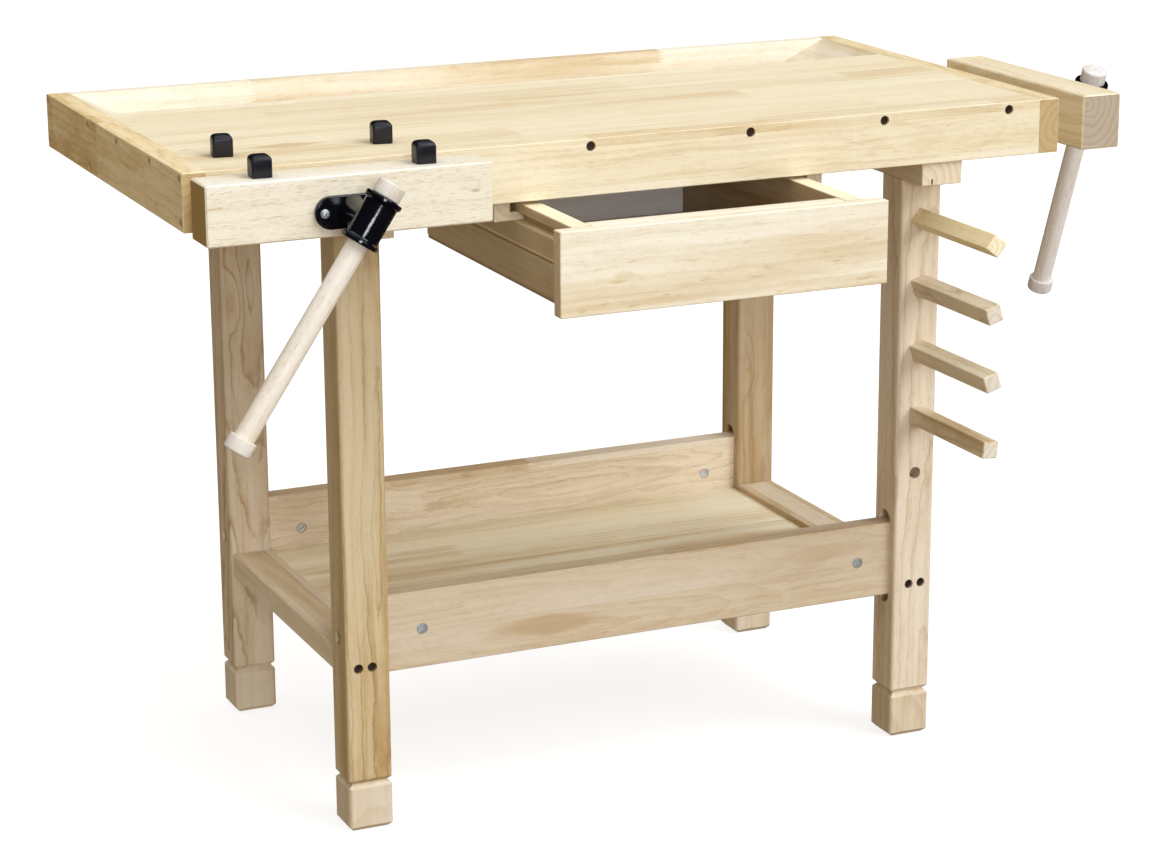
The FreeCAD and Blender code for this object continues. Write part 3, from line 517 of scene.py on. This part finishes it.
def arc(centre, radius, first, last, steps=6):
    """Points of an arc in a profile, by angles in degrees from the outward direction."""
    angles = [math.radians(first + (last - first) * step / steps) for step in range(steps + 1)]
    return [(centre[0] + radius * math.cos(angle), centre[1] + radius * math.sin(angle)) for angle in angles]


def facing(origin, direction):
    """Placement whose local Z axis points along a direction."""
    return Matrix.Translation(origin) @ Vector(direction).to_track_quat("Z", "Y").to_matrix().to_4x4()


def reach(node, origin, direction):
    """Lowest and highest place of a CAD node along a line."""
    places = [(vertex.co - origin).dot(direction) for vertex in NODES[node].data.vertices]
    return min(places), max(places)


def girth(node, origin, direction):
    """Largest distance of a CAD node from a line."""
    return max((vertex.co - origin).cross(direction).length for vertex in NODES[node].data.vertices)


def slotted_disc(mesh, place, radius, crown, slots, width, depth, steps=48, rows=14):
    """Crowned round end with driver slots sunk into it, and a short wall below its rim."""
    rings = [[place @ Vector((0, 0, crown - depth))]]
    for row in range(1, rows + 1):
        out = radius * row / rows
        ring = []
        for step in range(steps):
            angle = math.tau * step / steps
            x, y = out * math.cos(angle), out * math.sin(angle)
            height = crown * (1 - (out / radius) ** 2)
            spans = [abs(y), abs(x)][:slots]
            inside = any(span < width / 2 for span in spans) and out < radius * 0.72
            ring.append(place @ Vector((x, y, height - depth if inside or out < width / 2 else height)))
        rings.append(ring)
    loft(mesh, rings)


class WORKBENCH_OT_top(bpy.types.Operator):
    """Dress the boards of the top and the tool tray"""

    bl_idname = "workbench.top"
    bl_label = "Top"
    patches = (((-0.348, -0.076), (0.05, 0.012), 0.8),)

    def execute(self, context):
        woods = context.scene.workbench_wood
        staves = {"width": woods.stave_width, "run": woods.stave_length}
        wood("worktop_panel", woods.top, X, Y, 1.0, joint=-0.21, rings=0.5, figure=0.65,
             patches=self.patches, **staves)
        wood("front_apron", woods.top, X, Z, 4.0, width=0.04, run=0.47, rings=0.5)
        wood("back_board", woods.tray, X, Z, 7.0, width=0.06, run=0.5, rings=0.4)
        wood("tray_wall", woods.top, X, Z, 8.0, width=0.06, run=0.5, rings=0.4)
        for number, node in enumerate(("left_end_cap", "right_end_cap")):
            wood(node, scaled(woods.end, 1.05 - 0.05 * number), Y, Z, 2.0 + number, run=0.175, joint=0.055,
                 ring=0.009, mottle=1.7, patch=0.45, wobble=0.012, veins=0.25)
        wood("tray_floor", woods.tray, X, Y, 3.0, **staves)
        for number, node in enumerate(("tray_ramp_left", "tray_ramp_right")):
            wood(node, woods.tray, Y, X, 8.0 + number)
        return {"FINISHED"}


class WORKBENCH_OT_underframe(bpy.types.Operator):
    """Dress the legs, feet, bearers, rails, stretchers and shelf"""

    bl_idname = "workbench.underframe"
    bl_label = "Underframe"
    patches = (((-0.114, -0.016), (0.085, 0.013), 0.7), ((0.22, 0.02), (0.09, 0.011), 0.4))

    def execute(self, context):
        woods = context.scene.workbench_wood
        tints = {"front_left_leg": (0.96, 0.97, 0.93), "front_right_leg": (1.12, 1.20, 1.42),
                 "back_left_leg": (1.0, 1.05, 1.2), "back_right_leg": (0.86, 0.84, 0.82)}
        for number, end in enumerate(("front", "back")):
            for side in ("left", "right"):
                name = "%s_%s_leg" % (end, side)
                seed = 11.0 + 3.0 * number + (side == "right")
                wood(name, scaled(woods.leg, tints[name]), Z, X, seed, figure=1.25, rings=1.3, ring=0.011,
                     sharp=3.0, veins=0.62 if side == "left" else 0.25, wobble=0.010, swirl=0.02)
        wood("foot_blocks", woods.foot, Z, X, 21.0, width=0.3)
        for number, side in enumerate(("left", "right")):
            wood("bearer_" + side, woods.bearer, Y, X, 23.0 + number, end=(1.08, 1.12, 1.22))
            wood("side_rail_" + side, woods.bearer, Y, X, 26.0 + number, width=0.027, run=0.34)
        wood("front_stretcher", scaled(woods.stretcher, 0.90), X, Z, 31.0, width=0.042, edge=-0.002, run=0.62,
             joint=0.03 - 0.62 * 0.382, patches=self.patches, wobble=0.008)
        wood("back_stretcher", scaled(woods.stretcher, (1.18, 1.22, 1.28)), X, Z, 33.0, width=0.042,
             edge=-0.008, run=0.34, joint=-0.10, wobble=0.010, veins=0.2)
        wood("shelf", woods.shelf, X, Y, 35.0, width=0.075, run=0.8, pores=0.5, seams=0.12, rings=0.3)
        return {"FINISHED"}


class WORKBENCH_OT_pegs(bpy.types.Operator):
    """Dress the tool pegs"""

    bl_idname = "workbench.pegs"
    bl_label = "Tool pegs"

    def execute(self, context):
        woods = context.scene.workbench_wood
        for number in (1, 2, 3, 4):
            peg = scaled(woods.peg, (1.2, 1.17, 1.0) if number == 1 else 0.96)
            wood("tool_peg_%d" % number, peg, Y, X, 40.0 + number, end=(1.08, 1.2, 1.5), mottle=1.5,
                 wobble=0.008, veins=0.4 if number in (2, 4) else 0.1)
        return {"FINISHED"}


class WORKBENCH_OT_drawer(bpy.types.Operator):
    """Dress the drawer and its runners"""

    bl_idname = "workbench.drawer"
    bl_label = "Drawer"
    patches = (((-0.114, -0.007), (0.016, 0.006), 0.35), ((-0.159, -0.038), (0.006, 0.003), 1.0),
               ((-0.054, -0.033), (0.005, 0.002), 1.0))
    # Painted light and shade on the drawer sides. Each side has a tint for its face, darkened on the right
    # side as painted shade inside the drawer, and a paler tint for faces that point up, as painted light on
    # the top edges.
    side_painted_light = {"left": ((1, 1, 1), (1.5, 1.62, 1.8)), "right": ((0.74, 0.68, 0.62), (2.0, 2.4, 2.9))}

    def execute(self, context):
        woods = context.scene.workbench_wood
        for node in ("drawer_front", "drawer_box_front"):
            wood(node, scaled(woods.top, (1.07, 1.13, 1.29)), X, Z, 51.0, rings=0.8, wobble=0.008, swirl=0.02,
                 figure=0.8, flecks=2.0, patches=self.patches)
        # The pale drawer back tone is painted light inside the shaded drawer.
        wood("drawer_back", woods.drawer_back, X, Z, 54.0, rings=0.4)
        for number, side in enumerate(("left", "right")):
            side_shade_tint, lit_top_tint = self.side_painted_light[side]
            # Each side gets its painted shade tint, painted light on its top edges, and two painted highlight
            # lines along its outward face.
            wood("drawer_side_" + side, scaled(woods.drawer, side_shade_tint), Y, Z, 55.0 + number,
                 wear=(0.0204, -0.0014), outward=2 * number - 1, top=lit_top_tint)
            # The runners' end faces are painted far paler and whiter than their wood: painted light on ends
            # that sit in shade under the apron.
            wood("drawer_runner_" + side, woods.drawer, Y, Z, 59.0 + number, end=(1.38, 1.5, 1.8))
        wood("drawer_bottom", woods.drawer_bottom, X, Y, 57.0, pores=0.4, rings=0.3)
        return {"FINISHED"}


class WORKBENCH_OT_vises(bpy.types.Operator):
    """Make the vises' hubs and threaded screws, and dress their jaws, collars, rods and nuts"""

    bl_idname = "workbench.vises"
    bl_label = "Vises"

    def execute(self, context):
        metals = context.scene.workbench_metal
        woods = context.scene.workbench_wood
        paint = black_paint("black_paint", metals.paint)
        dress(paint, "front_collar", "tail_collar", "front_nut_plate", "tail_nut_plate")
        wood("front_jaw", scaled(woods.top, (1.0, 1.03, 1.14)), X, Z, 61.0, width=0.044, edge=-0.006, run=1.3,
             joint=0.5, rings=0.5, end=(0.54, 0.41, 0.19), wobble=0.008, flecks=2.4, pores=2.0)
        wood("tail_jaw", woods.top, Y, Z, 63.0, ring=0.008, end=(0.62, 0.60, 0.68), wobble=0.006)
        for name, along in (("front", Y), ("tail", X)):
            steel = bright_metal(name + "_steel", metals.steel, along, 0.18)
            dress(steel, name + "_guide_rods")
            turn = JOINTS[name + "_screw_turn"]
            hub_centre = Vector(turn["pos_m"])
            inward = -Vector(turn["axis"])
            self.add_hub(metals, name, hub_centre, inward, paint)
            self.add_screw(metals, name, hub_centre, inward, steel)
        return {"FINISHED"}

    def add_hub(self, metals, name, centre, inward, paint):
        """Cast hub: a flanged barrel with the handle's way through it, on a flared neck."""
        handle = Vector(JOINTS[name + "_handle_slide"]["axis"])
        low, high = reach(name + "_hub", centre, handle)
        half = (high - low) / 2
        lip = 0.0012
        fillet = 0.003
        flange_height = 0.0045
        sink = 0.0015
        play = 0.0004
        flange = metals.hub_flange
        body = metals.hub_body
        rim = half - flange_height
        outside = [
            (metals.hub_bore + lip, -half),
            *arc((flange - lip, lip - half), lip, -90, 0),
            *arc((flange - lip, -rim - lip), lip, 0, 70),
            *reversed(arc((body + fillet, -rim + fillet), fillet, 180, 260)),
        ]
        upper = [(radius, -height) for radius, height in reversed(outside)]
        bore = [(metals.hub_bore, half - lip), (metals.hub_bore, lip - half)]
        mesh = bmesh.new()
        lathe(mesh, facing(centre, handle), outside + upper + bore, metals.turns, closed=True)
        collar_face = reach(name + "_collar", centre, inward)[0]
        across = handle.cross(inward)
        neck_profile = [(metals.neck * 1.22, 0.0), (metals.neck * 1.08, 0.25), (metals.neck, 0.55),
                        (metals.neck * 0.98, 0.8), (metals.neck * 0.97, 1.0)]
        near = body - sink
        rings = []
        for radius, share in reversed(neck_profile):
            ring = []
            for step in range(metals.turns):
                angle = math.tau * step / metals.turns
                off = radius * math.cos(angle)
                saddle = math.sqrt(max(near * near - off * off, 0.0))
                out = collar_face - play
                ring.append(centre + across * off + handle * (radius * math.sin(angle))
                            + inward * (saddle + (out - saddle) * (1 - share)))
            rings.append(ring)
        rings.append([centre + inward * (collar_face - play)])
        rings.insert(0, [centre + inward * near])
        loft(mesh, rings)
        add_piece(name + "_hub_casting", mesh, name + "_screw", paint, "black_paint", name + "_hub")

    def add_screw(self, metals, name, centre, inward, steel):
        """Vise screw: spigot, thrust flange and a square-cut thread that winds along it."""
        first, last = reach(name + "_screw", centre, inward)
        jaw_front = reach(name + "_jaw", centre, inward)[0]
        flange = girth(name + "_screw", centre, inward)
        outer = flange * 9.0 / 13.0
        spigot = flange * 8.0 / 13.0
        core = outer - metals.thread_depth
        play = 0.0003
        thick = 0.004
        start = jaw_front + play
        ease = 0.0008
        place = facing(centre, inward)
        mesh = bmesh.new()
        lathe(mesh, place, [
            (0, first), (spigot - ease, first), (spigot, first + ease), (spigot, start),
            (flange - ease, start), (flange, start + ease), (flange, start + thick - ease),
            (flange - ease, start + thick),
            (core, start + thick), (core, last - ease), (core - ease, last), (0, last),
        ], metals.turns)
        pitch = metals.thread_pitch
        steps = 36
        ridge_start = start + thick + pitch
        turns = (last - ridge_start - pitch) / pitch
        root = core - 0.0004
        shape = [(root, -0.36), (outer, -0.22), (outer, 0.22), (root, 0.36)]
        rings = []
        for step in range(int(turns * steps) + 1):
            angle = math.tau * step / steps
            rise = ridge_start + pitch * step / steps
            ends = min(step, int(turns * steps) - step, steps // 2) / (steps // 2)
            ring = []
            for radius, shift in shape:
                out = root + (radius - root) * max(ends, 0.05)
                spot = Vector((out * math.cos(angle), out * math.sin(angle), rise + shift * pitch))
                ring.append(place @ spot)
            rings.append(ring)
        loft(mesh, rings)
        for ring in (rings[0], rings[-1]):
            mesh.faces.new([vertex for vertex in mesh.verts
                            if any((vertex.co - point).length < 1e-9 for point in ring)])
        add_piece(name + "_screw_thread", mesh, name + "_screw", steel, "bright_steel", name + "_screw")


class WORKBENCH_OT_handles(bpy.types.Operator):
    """Make the handles' turned end caps and dress the handles"""

    bl_idname = "workbench.handles"
    bl_label = "Handles"

    def execute(self, context):
        metals = context.scene.workbench_metal
        woods = context.scene.workbench_wood
        for number, name in enumerate(("front", "tail")):
            centre = Vector(JOINTS[name + "_screw_turn"]["pos_m"])
            handle = Vector(JOINTS[name + "_handle_slide"]["axis"])
            if name == "front":
                turn = ("Y_AXIS", math.atan2(-handle.x, handle.z), centre)
            else:
                turn = ("X_AXIS", math.atan2(handle.y, handle.z), centre)
            cool = (1.0, 1.0 + 0.03 * number, 1.0 + 0.15 * number)
            turned = {"figure": 0.7, "pores": 1.7, "specks": 0.15, "rings": 0.5, "turn": turn}
            wood(name + "_handle", scaled(woods.handle, cool), Z, X, 71.0 + number, **turned)
            cap_tone = scaled(woods.handle, scaled(cool, 0.86))
            beech = wood(name + "_handle_caps", cap_tone, Z, X, 73.0 + number, **turned)
            low, high = reach(name + "_handle_caps", centre, handle)
            radius = girth(name + "_handle_caps", centre, handle)
            mesh = bmesh.new()
            for end, direction in ((high, handle), (-low, -handle)):
                base = centre + direction * (end - metals.cap_length)
                self.add_cap(metals, mesh, facing(base, direction), radius)
            add_piece(name + "_turned_caps", mesh, name + "_handle", beech, "handle_wood",
                      name + "_handle_caps")
        return {"FINISHED"}

    def add_cap(self, metals, mesh, place, radius):
        """One cap: a softly rounded button with the lathe centre's mark in its end."""
        tall = metals.cap_length
        soft = 0.0026
        heel = 0.0012
        mark = 0.0016
        crown = 0.0007
        profile = [
            (0, 0.0001),
            *arc((radius - heel, heel + 0.0001), heel, -90, 0, 4),
            (radius, tall * 0.45),
            *arc((radius - soft, tall - crown - soft), soft, 0, 90, 8),
            (radius * 0.5, tall - crown * 0.4),
            (mark * 1.3, tall - 0.0001),
            (mark, tall - 0.0004),
            (mark * 0.4, tall - 0.0018),
            (0, tall - 0.0020),
        ]
        lathe(mesh, place, profile, metals.turns)


class WORKBENCH_OT_dogs(bpy.types.Operator):
    """Make the square bench dogs with their rounded tops"""

    bl_idname = "workbench.dogs"
    bl_label = "Bench dogs"

    def execute(self, context):
        metals = context.scene.workbench_metal
        plastic = matt_black("matt_black", metals.dog)
        bench_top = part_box("worktop_panel")[1].z
        for number in (1, 2, 3, 4):
            node = "bench_dog_%d" % number
            low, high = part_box(node)
            mesh = bmesh.new()
            middle = Vector(((low.x + high.x) / 2, (low.y + high.y) / 2, 0))
            twist = metals.jaw_dog_turn if number < 3 else metals.bench_dog_turn
            place = Matrix.Translation(middle) @ Matrix.Rotation(twist, 4, "Z")
            self.add_head(metals, mesh, place, bench_top, high.z)
            stem = metals.dog_stem
            ease = 0.001
            stem_top = bench_top + 0.0005
            lathe(mesh, Matrix.Translation(middle), [
                (0, low.z), (stem - ease, low.z), (stem, low.z + ease), (stem, stem_top), (0, stem_top),
            ], metals.turns)
            add_piece("square_dog_%d" % number, mesh, node, plastic, "black_plastic", node, crease=50.0)
        return {"FINISHED"}

    def add_head(self, metals, mesh, place, base, top):
        """Head with soft upright corners, a rounded shoulder and a low crown."""
        half = metals.dog_half
        crown = metals.dog_crown
        ease = 0.0006
        corner = 0.0024
        steps = 8
        levels = [(ease, base), (0.0, base + ease), (0.0, top - crown)]
        for step in range(1, steps):
            angle = math.radians(90 * step / steps)
            inset = crown * 0.74 * (1 - math.cos(angle))
            levels.append((inset, top - crown + crown * 0.88 * math.sin(angle)))
        levels += [(half * 0.56, top - crown * 0.06), (half * 0.76, top - crown * 0.02)]
        rings = [[place @ Vector((0, 0, base))]]
        for inset, height in levels:
            rings.append([place @ Vector((x, y, height)) for x, y in self.soft_square(half - inset, corner)])
        rings.append([place @ Vector((0, 0, top))])
        loft(mesh, rings)

    @staticmethod
    def soft_square(half, radius, steps=5):
        """Points round a square with rounded corners."""
        radius = min(radius, half * 0.9)
        inner = half - radius
        points = []
        for quarter, (x, y) in enumerate(((1, 1), (-1, 1), (-1, -1), (1, -1))):
            for step in range(steps + 1):
                angle = math.radians(90 * (quarter + step / steps))
                points.append((x * inner + radius * math.cos(angle), y * inner + radius * math.sin(angle)))
        return points


class WORKBENCH_OT_fasteners(bpy.types.Operator):
    """Make the slotted barrel nuts and the collar screws, and dress the sunk screws and bolts"""

    bl_idname = "workbench.fasteners"
    bl_label = "Fasteners"

    def execute(self, context):
        metals = context.scene.workbench_metal
        zinc = bright_metal("zinc_plate", metals.zinc, Y, 0.22, 0.65)
        dress(bright_metal("bolt_steel", metals.bolt, X, 0.3), "stretcher_bolts")
        dress(bright_metal("dark_screws", metals.dark, Y, 0.45), "wood_screws", "rail_screws")
        self.add_nuts(metals, zinc)
        for name in ("front", "tail"):
            self.add_collar_screws(metals, name, zinc)
        return {"FINISHED"}

    def add_nuts(self, metals, zinc):
        """Barrel nuts with a slot in each end."""
        low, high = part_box("barrel_nuts")
        radius = (high.z - low.z) / 2
        height = (high.z + low.z) / 2
        slot_turn = Matrix.Rotation(math.radians(35), 4, "Z")
        sunk = Matrix.Translation((0, 0, -0.0004))
        ease = 0.0008
        crown = 0.0003
        inner = -0.0118
        mesh = bmesh.new()
        for stretcher in ("front_stretcher", "back_stretcher"):
            near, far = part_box(stretcher)
            for x in (low.x + radius, high.x - radius):
                for y, outward in ((near.y, -1), (far.y, 1)):
                    place = facing(Vector((x, y, height)), (0, outward, 0)) @ slot_turn @ sunk
                    slotted_disc(mesh, place, radius - ease, crown, 1, metals.slot_width, metals.slot_depth)
                    lathe(mesh, place, [(radius - ease, 0), (radius, -ease), (radius, inner), (0, inner)], 48)
        bmesh.ops.remove_doubles(mesh, verts=mesh.verts, dist=1e-6)
        add_piece("slotted_barrel_nuts", mesh, "bench", zinc, "zinc", "barrel_nuts")

    def add_collar_screws(self, metals, name, zinc):
        """Domed screws with a crossed slot that hold a collar to its jaw."""
        turn = JOINTS[name + "_screw_turn"]
        centre = Vector(turn["pos_m"])
        outward = Vector(turn["axis"])
        across = outward.cross(Vector((0, 0, 1)))
        near, far = reach(name + "_collar_screws", centre, outward)
        first, last = reach(name + "_collar_screws", centre, across)
        collar = reach(name + "_collar", centre, outward)[1]
        low, high = reach(name + "_collar_screws", centre, Vector((0, 0, 1)))
        radius = (high - low) / 2
        rim = 0.0005
        shank = 0.002
        tip = near - collar
        mesh = bmesh.new()
        for spot in (first + radius, last - radius):
            place = facing(centre + across * spot + outward * collar, outward)
            slotted_disc(mesh, place @ Matrix.Translation((0, 0, rim)), radius, far - collar - rim, 2,
                         metals.slot_width * 0.8, metals.slot_depth)
            lathe(mesh, place, [(radius, rim), (radius, 0), (shank, 0), (shank, tip), (0, tip)], 48)
        bmesh.ops.remove_doubles(mesh, verts=mesh.verts, dist=1e-6)
        add_piece(name + "_domed_screws", mesh, name + "_jaw", zinc, "zinc", name + "_collar_screws")


class WORKBENCH_OT_stage(bpy.types.Operator):
    """Make the floor, the lights and the camera"""

    bl_idname = "workbench.stage"
    bl_label = "Stage"

    def execute(self, context):
        stage = context.scene.workbench_stage
        self.add_floor(stage)
        self.add_world(context.scene, stage)
        self.add_light(stage, "main_light", stage.key_from, stage.key_size, stage.key)
        self.add_light(stage, "front_light", stage.front_from, stage.front_size, stage.front)
        self.add_light(stage, "overhead_light", (0, 0, 1), 2 * stage.key_size, stage.top)
        self.add_camera(context.scene, stage)
        context.scene.view_settings.view_transform = "Standard"
        return {"FINISHED"}

    def add_floor(self, stage):
        """Wide pale floor under the feet."""
        mesh = bmesh.new()
        bmesh.ops.create_grid(mesh, x_segments=8, y_segments=8, size=40.0)
        built = bpy.data.meshes.new("floor")
        mesh.to_mesh(built)
        mesh.free()
        built.materials.append(floor_finish("studio_floor", stage))
        floor = bpy.data.objects.new("floor", built)
        floor.visible_diffuse = False
        floor.visible_glossy = False
        bpy.context.scene.collection.objects.link(floor)

    def add_world(self, scene, stage):
        """Even light from all round."""
        world = bpy.data.worlds.new("studio")
        world.use_nodes = True
        background = world.node_tree.nodes["Background"]
        background.inputs["Color"].default_value = (*stage.sky, 1.0)
        background.inputs["Strength"].default_value = stage.fill
        world.cycles_visibility.glossy = False
        scene.world = world

    def add_light(self, stage, name, place, size, strength):
        """Soft far light that shines from a direction."""
        light = bpy.data.lights.new(name, "SUN")
        light.angle = size
        light.energy = strength
        light.color = stage.lamp
        lamp = bpy.data.objects.new(name, light)
        lamp.rotation_mode = "QUATERNION"
        lamp.rotation_quaternion = Vector(place).to_track_quat("Z", "Y")
        bpy.context.scene.collection.objects.link(lamp)

    def add_camera(self, scene, stage):
        """Camera at the photograph's place."""
        corner = Vector((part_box("left_end_cap")[0].x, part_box("front_apron")[0].y, 0))
        flat = math.cos(stage.pitch)
        ahead = Vector((math.sin(stage.yaw) * flat, math.cos(stage.yaw) * flat, math.sin(stage.pitch)))
        level = Vector((math.cos(stage.yaw), -math.sin(stage.yaw), 0))
        above = level.cross(ahead)
        right = level * math.cos(stage.roll) + above * math.sin(stage.roll)
        up = above * math.cos(stage.roll) - level * math.sin(stage.roll)
        turn = Matrix((right, up, -ahead)).transposed()
        lens = bpy.data.cameras.new("camera")
        lens.lens = stage.lens
        lens.sensor_width = 36.0
        lens.sensor_fit = "HORIZONTAL"
        camera = bpy.data.objects.new("camera", lens)
        camera.matrix_world = Matrix.Translation(corner + Vector(stage.camera_place)) @ turn.to_4x4()
        scene.collection.objects.link(camera)
        scene.camera = camera


OPERATORS = (
    WORKBENCH_OT_top, WORKBENCH_OT_underframe, WORKBENCH_OT_pegs, WORKBENCH_OT_drawer, WORKBENCH_OT_vises,
    WORKBENCH_OT_handles, WORKBENCH_OT_dogs, WORKBENCH_OT_fasteners, WORKBENCH_OT_stage,
)
GROUPS = {"workbench_wood": WoodSettings, "workbench_metal": MetalSettings, "workbench_stage": StageSettings}


class WORKBENCH_PT_panel(bpy.types.Panel):
    """Settings and steps of the workbench"""

    bl_idname = "WORKBENCH_PT_panel"
    bl_label = "Children's Workbench"
    bl_space_type = "VIEW_3D"
    bl_region_type = "UI"
    bl_category = "Workbench"

    def draw(self, context):
        for name, group in GROUPS.items():
            box = self.layout.box()
            box.label(text=group.__doc__)
            for key in group.__annotations__:
                box.prop(getattr(context.scene, name), key)
        for operator in OPERATORS:
            self.layout.operator(operator.bl_idname)


def register():
    """Register the classes and their settings."""
    for group in (*GROUPS.values(), *OPERATORS, WORKBENCH_PT_panel):
        bpy.utils.register_class(group)
    for name, group in GROUPS.items():
        setattr(bpy.types.Scene, name, PointerProperty(type=group))


def unregister():
    """Take the settings and classes away again."""
    for name in GROUPS:
        delattr(bpy.types.Scene, name)
    for group in reversed((*GROUPS.values(), *OPERATORS, WORKBENCH_PT_panel)):
        bpy.utils.unregister_class(group)


def main():
    """Dress the bench and set the stage."""
    register()
    bpy.ops.workbench.stage()
    bpy.ops.workbench.top()
    bpy.ops.workbench.underframe()
    bpy.ops.workbench.pegs()
    bpy.ops.workbench.drawer()
    bpy.ops.workbench.vises()
    bpy.ops.workbench.handles()
    bpy.ops.workbench.dogs()
    bpy.ops.workbench.fasteners()


if __name__ == "__main__":
    main()
